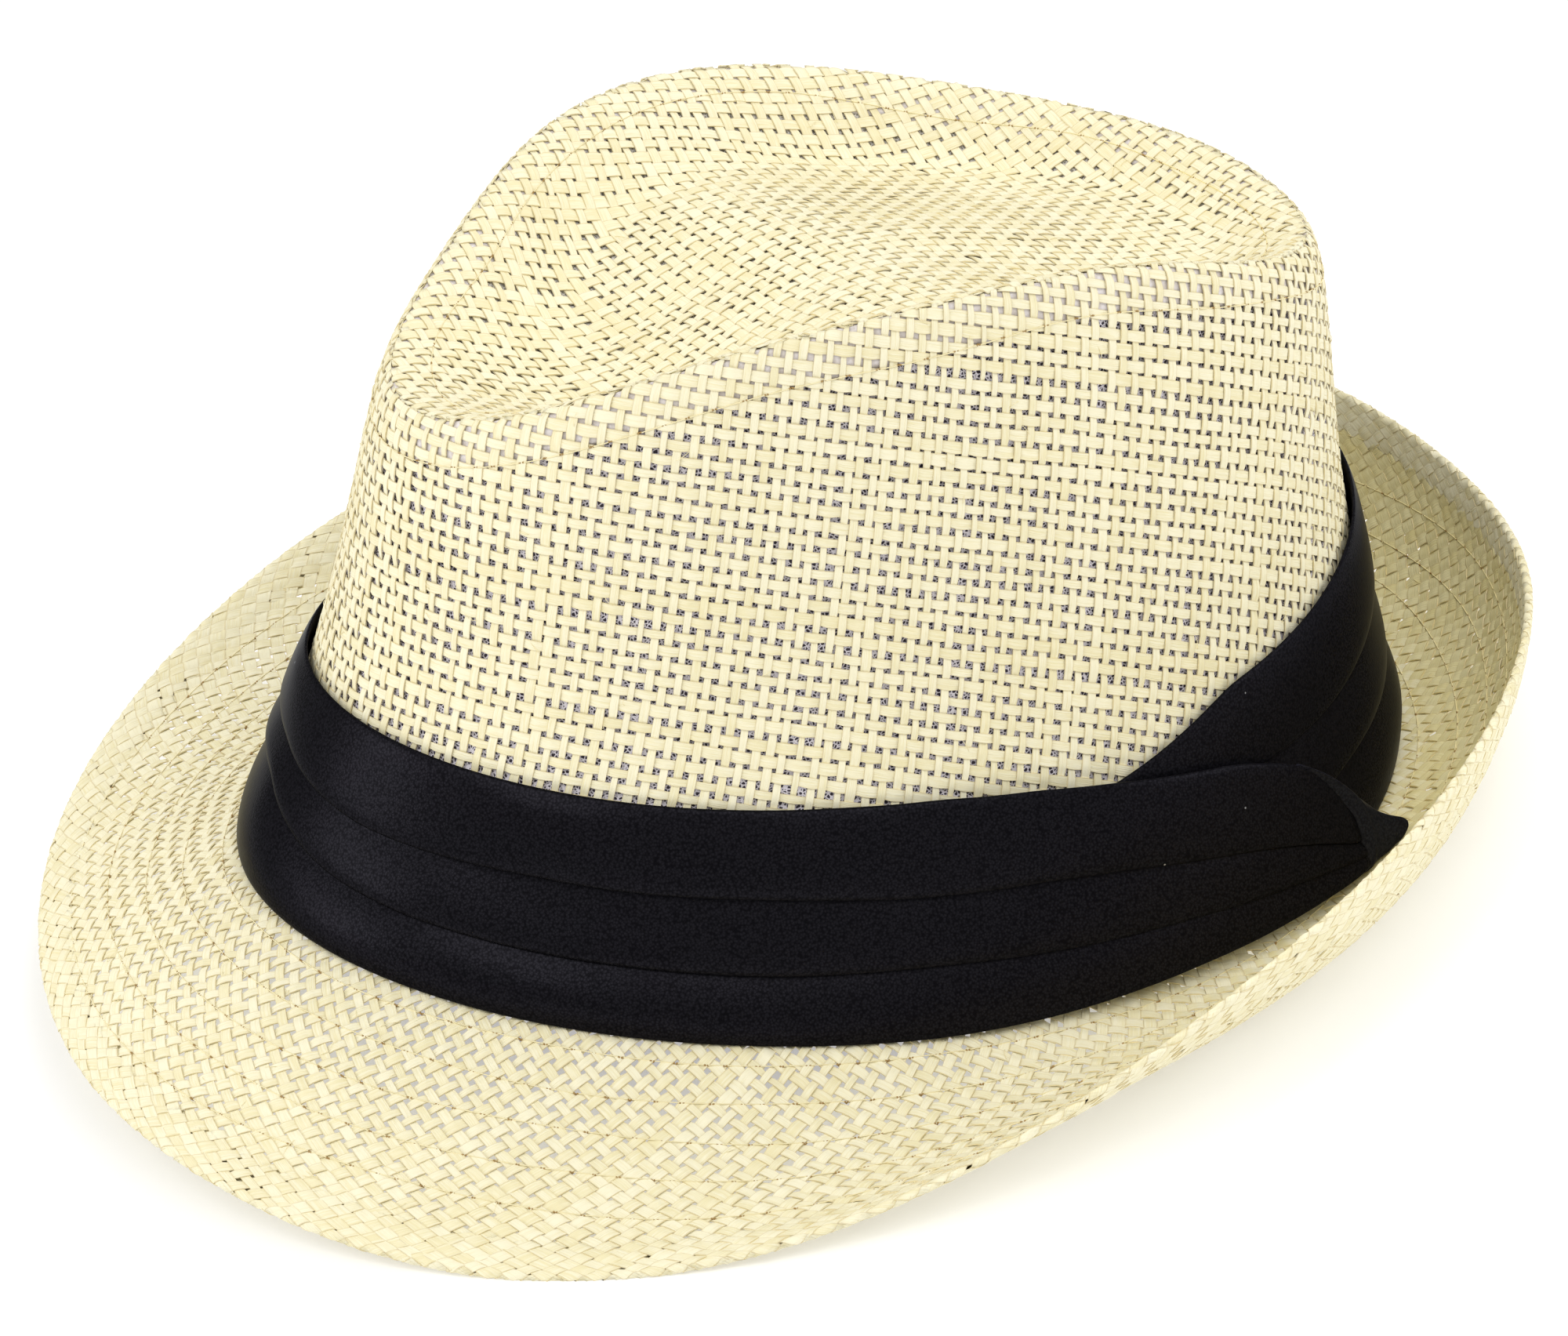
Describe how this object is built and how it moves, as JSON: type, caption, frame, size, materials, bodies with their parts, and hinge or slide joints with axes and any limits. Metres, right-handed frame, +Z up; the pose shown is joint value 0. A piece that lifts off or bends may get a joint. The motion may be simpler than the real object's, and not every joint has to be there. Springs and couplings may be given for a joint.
{
  "type": "straw fedora",
  "caption": "Woven straw fedora with a dented crown, a brim rolled up at the sides and back, and a pleated black satin band with a small knot.",
  "frame": {"origin": "bottom centre of the hat's bounding box, on the surface that the hat stands on", "axes": "+Z up, -Y towards the front of the hat, +X towards the wearer's left, where the band's knot is"},
  "size_m": [0.2486, 0.2714, 0.1247],
  "materials": {
    "straw": "matte woven paper straw",
    "lining": "fine matte net",
    "satin": "soft satin"
  },
  "bodies": {
    "root": {"crown_side": "straw", "crown_top": "straw", "crown_lining": "lining", "brim": "straw", "brim_edge": "straw", "band": "satin", "band_knot": "satin"}
  },
  "joints": []
}
